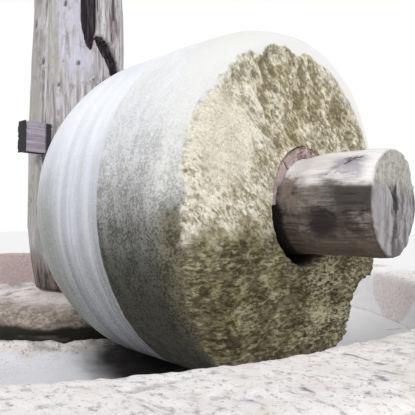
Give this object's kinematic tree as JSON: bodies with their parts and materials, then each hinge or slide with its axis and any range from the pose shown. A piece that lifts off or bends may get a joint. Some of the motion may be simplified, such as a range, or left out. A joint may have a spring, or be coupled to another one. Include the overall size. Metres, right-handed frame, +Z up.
{
  "type": "edge runner mill",
  "caption": "Crushing mill of a watermill: a heavy granite edge runner on a log axle rolls round an upright wooden shaft in a round stone basin.",
  "frame": {"origin": "on the ground under the centre of the upright shaft", "axes": "+Z up along the shaft; +X along the log axle towards its free end, with the runner at +X at rest"},
  "size_m": [3.3599, 3.3599, 2.454],
  "materials": {
    "masonry": "rough rubble masonry in lime mortar",
    "rim_granite": "coarse pale granite with dark specks, worn on top",
    "bed_granite": "ground smooth by the runner",
    "hub_granite": "worn pinkish granite with dark stains",
    "mortar": "smooth white lime mortar",
    "runner_granite": "polished tread, rough picked outer face",
    "iron": "dark rusted wrought iron",
    "shaft_wood": "grey weathered log with checks",
    "arm_wood": "grey weathered squared timber",
    "axle_wood": "grey weathered log with end checks",
    "key_wood": "weathered hardwood",
    "bush_wood": "reddish brown rotten wood"
  },
  "bodies": {
    "bed": {"base_masonry": "masonry", "hub_stone": "hub_granite", "footstep_bearing": "iron", "rim_mortar": "mortar", "rim_stone_1": "rim_granite", "rim_stone_2": "rim_granite", "rim_stone_3": "rim_granite", "rim_stone_4": "rim_granite", "rim_stone_5": "rim_granite", "rim_stone_6": "rim_granite", "rim_stone_7": "rim_granite", "rim_stone_8": "rim_granite", "bed_stone_1": "bed_granite", "bed_stone_2": "bed_granite", "bed_stone_3": "bed_granite", "bed_stone_4": "bed_granite", "bed_stone_5": "bed_granite", "bed_stone_6": "bed_granite"},
    "shaft": {"upright_shaft": "shaft_wood", "shaft_pivot": "iron", "top_gudgeon": "iron", "cross_timber": "arm_wood", "axle": "axle_wood", "tenon_key": "key_wood"},
    "runner": {"runner_stone": "runner_granite", "bush_stave_1": "bush_wood", "bush_stave_2": "bush_wood", "bush_stave_3": "bush_wood", "bush_stave_4": "bush_wood", "bush_stave_5": "bush_wood", "bush_stave_6": "bush_wood", "bush_stave_7": "bush_wood", "bush_stave_8": "bush_wood"}
  },
  "joints": [
    {"name": "shaft_turn", "type": "hinge", "parent": "bed", "child": "shaft", "pos_m": [0, 0, 0.639], "axis": [0, 0, 1], "continuous": true},
    {"name": "runner_roll", "type": "hinge", "parent": "shaft", "child": "runner", "pos_m": [0.97, 0, 0.956], "axis": [1, 0, 0], "continuous": true}
  ],
  "couplings": [
    {"joint": "runner_roll", "follows": "shaft_turn", "ratio": -1.94}
  ]
}
